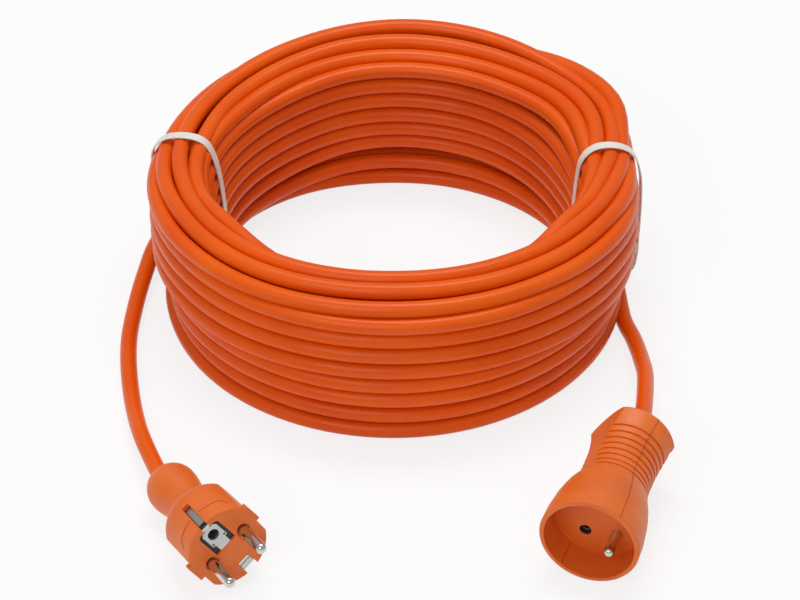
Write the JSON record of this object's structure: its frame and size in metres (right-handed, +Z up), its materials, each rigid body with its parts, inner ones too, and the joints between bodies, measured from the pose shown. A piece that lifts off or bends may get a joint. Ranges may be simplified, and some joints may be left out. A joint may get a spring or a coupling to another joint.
{
  "type": "extension cord",
  "caption": "Coiled earthed extension cord with a moulded ball-grip plug and a clamshell socket, its round coil held by nylon cable ties.",
  "frame": {"origin": "middle of the coil on the floor that it stands on", "axes": "+Z up, along the coil's axis; the plug and the socket lie on the floor on the -Y side, the plug towards -X and the socket towards +X"},
  "size_m": [0.2435, 0.327, 0.0795],
  "materials": {
    "cord_sheath": "semi-gloss orange PVC sheath",
    "moulded_housing": "satin moulded orange PVC",
    "black_insert": "black moulded plastic",
    "nickel_contact": "nickel plated, polished",
    "nylon_tie": "natural white nylon",
    "contact_carrier": "grey moulded plastic",
    "screw_steel": "zinc plated steel",
    "brown_core": "brown PVC insulation",
    "blue_core": "blue PVC insulation",
    "earth_core": "green and yellow PVC insulation"
  },
  "bodies": {
    "root": {"coil_winding": "cord_sheath", "coil_core": "cord_sheath", "left_cable_tie": "nylon_tie", "right_cable_tie": "nylon_tie", "plug_lead": "cord_sheath", "socket_lead": "cord_sheath", "plug_body": "moulded_housing", "plug_insert": "black_insert", "plug_live_pin": "nickel_contact", "plug_neutral_pin": "nickel_contact", "plug_earth_strap": "nickel_contact", "plug_earth_sleeve": "nickel_contact", "plug_sheath_end": "cord_sheath", "plug_live_core": "brown_core", "plug_neutral_core": "blue_core", "plug_earth_core": "earth_core", "socket_shell_upper": "moulded_housing", "socket_shell_lower": "moulded_housing", "socket_carrier": "contact_carrier", "socket_live_contact": "nickel_contact", "socket_neutral_contact": "nickel_contact", "socket_earth_pin": "nickel_contact", "socket_screws": "screw_steel", "socket_sheath_end": "cord_sheath", "socket_live_core": "brown_core", "socket_neutral_core": "blue_core", "socket_earth_core": "earth_core"}
  },
  "joints": []
}
